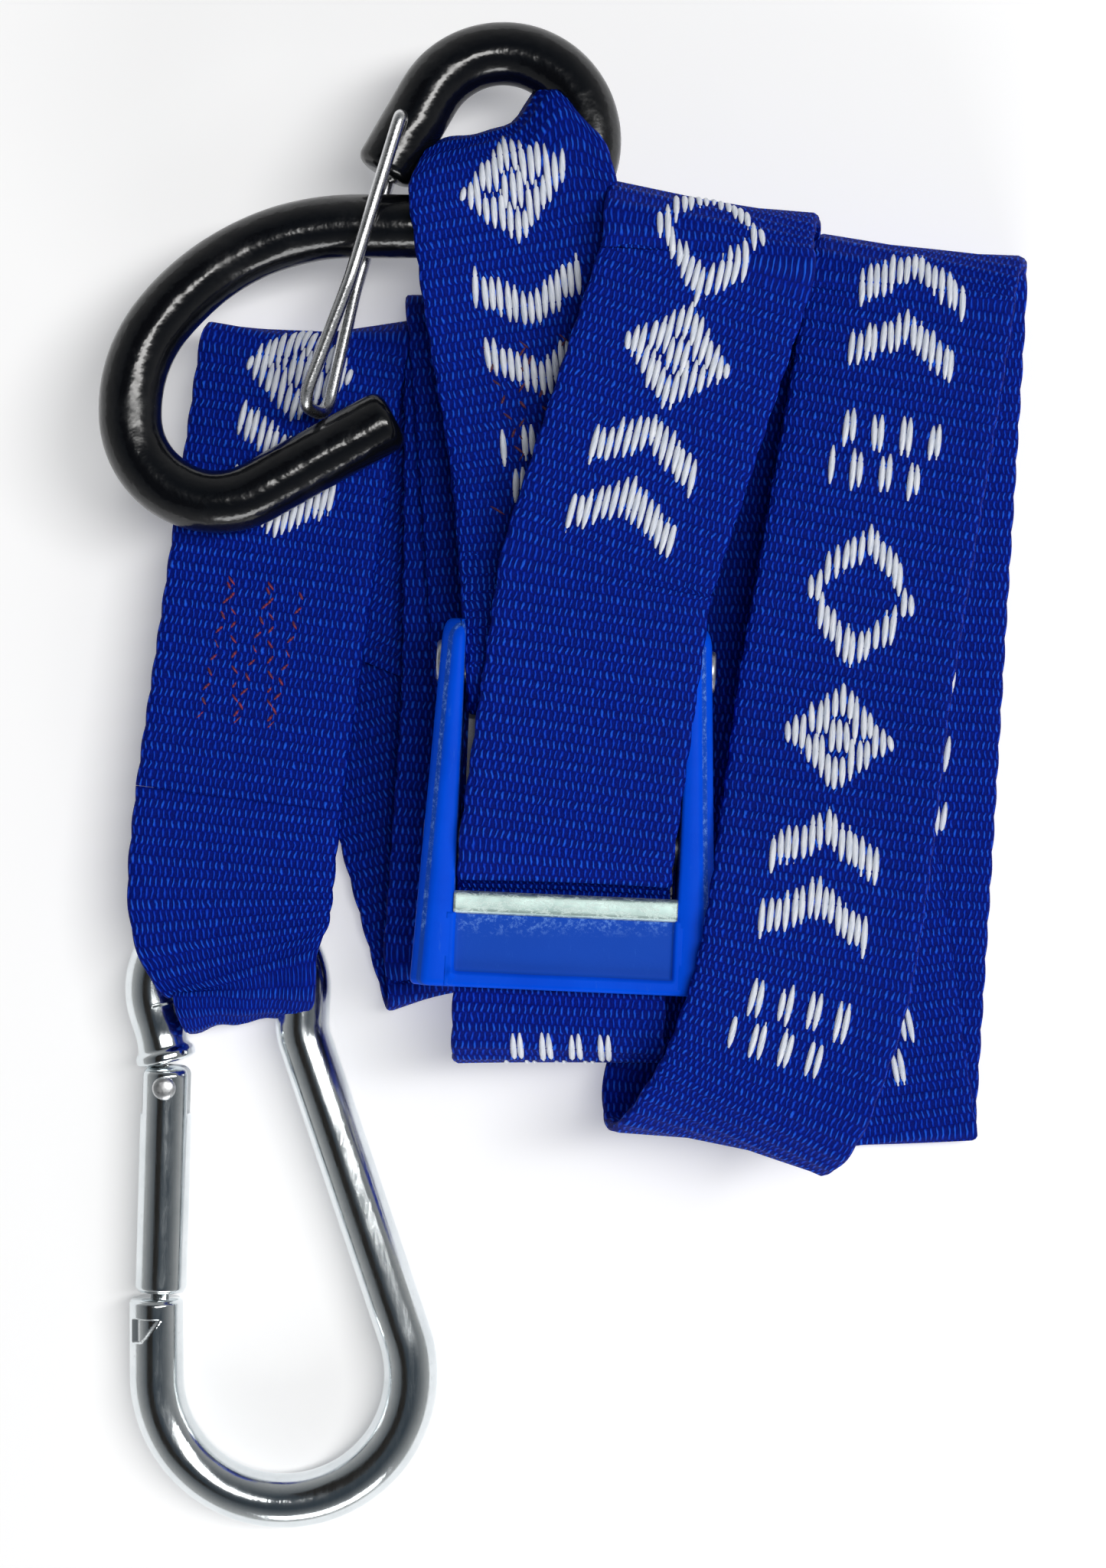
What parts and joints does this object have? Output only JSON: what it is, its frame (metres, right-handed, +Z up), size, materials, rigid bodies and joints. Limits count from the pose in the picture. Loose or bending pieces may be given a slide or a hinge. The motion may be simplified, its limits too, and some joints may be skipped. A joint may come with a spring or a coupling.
{
  "type": "cam buckle tie-down strap",
  "caption": "Cam-buckle tie-down folded into a bundle: flat webbing, a gated S-hook on the short strap and a snap hook on the long one.",
  "frame": {"origin": "bottom centre of the folded bundle's bounding box, on the surface it lies on", "axes": "+Y along the bundle towards the S-hook's eye, +Z up through the bundle's thickness"},
  "size_m": [0.1125, 0.1822, 0.0269],
  "materials": {
    "blue_webbing": "woven polyester webbing with ribs across its width",
    "red_thread": "bonded sewing thread",
    "black_vinyl": "glossy dipped vinyl",
    "bright_wire": "bright drawn wire",
    "zinc_plated_steel": "bright zinc plate with scratches",
    "bare_steel": "satin worn steel",
    "blue_painted_metal": "satin paint, scuffed",
    "cast_zinc": "die-cast, dull"
  },
  "bodies": {
    "root": {"snap_loop_tail": "blue_webbing", "strap_run_to_snap": "blue_webbing", "strap_folds_left": "blue_webbing", "strap_folds_right": "blue_webbing", "strap_run_to_buckle": "blue_webbing", "strap_free_end": "blue_webbing", "short_strap": "blue_webbing", "snap_loop_stitching": "red_thread", "hook_loop_stitching": "red_thread", "buckle_loop_stitching": "red_thread", "free_end_hem": "red_thread", "buckle_frame": "blue_painted_metal", "floor_wear_bar": "bare_steel", "anchor_bar": "bare_steel", "cam_pin": "bare_steel", "cam_spring": "bright_wire"},
    "s_hook": {"s_hook_rod": "bare_steel", "s_hook_sleeve": "black_vinyl"},
    "wire_gate": {"wire_gate": "bright_wire"},
    "snap_hook": {"snap_hook_body": "zinc_plated_steel", "snap_gate_rivet": "bare_steel"},
    "snap_gate": {"snap_gate": "zinc_plated_steel", "snap_gate_plunger": "bare_steel", "snap_gate_spring": "bright_wire"},
    "cam_lever": {"cam_lever": "cast_zinc"}
  },
  "joints": [
    {"name": "s_hook_swing", "type": "hinge", "parent": "root", "child": "s_hook", "pos_m": [-0.017, 0.0668, 0.015], "axis": [-1, 0, 0], "range_deg": [0, 30]},
    {"name": "wire_gate_swing", "type": "hinge", "parent": "s_hook", "child": "wire_gate", "pos_m": [-0.0202, 0.07915, 0.015], "axis": [0, 0, 1], "range_deg": [-22, 0], "stiffness_Nm_per_rad": 0.02, "springref_deg": 17.19},
    {"name": "snap_hook_swing", "type": "hinge", "parent": "root", "child": "snap_hook", "pos_m": [-0.042, -0.01555, 0.0052], "axis": [-1, 0, 0], "range_deg": [0, 25]},
    {"name": "snap_gate_swing", "type": "hinge", "parent": "snap_hook", "child": "snap_gate", "pos_m": [-0.04954, -0.03674, 0.00468], "axis": [0, -0.0244, 0.9997], "range_deg": [0, 25], "stiffness_Nm_per_rad": 0.02, "springref_deg": -22.92},
    {"name": "cam_lever_press", "type": "hinge", "parent": "root", "child": "cam_lever", "pos_m": [-0.00046, -0.00697, 0.016], "axis": [0.999, -0.0436, 0], "range_deg": [0, 13], "stiffness_Nm_per_rad": 0.05, "springref_deg": -28.65}
  ]
}
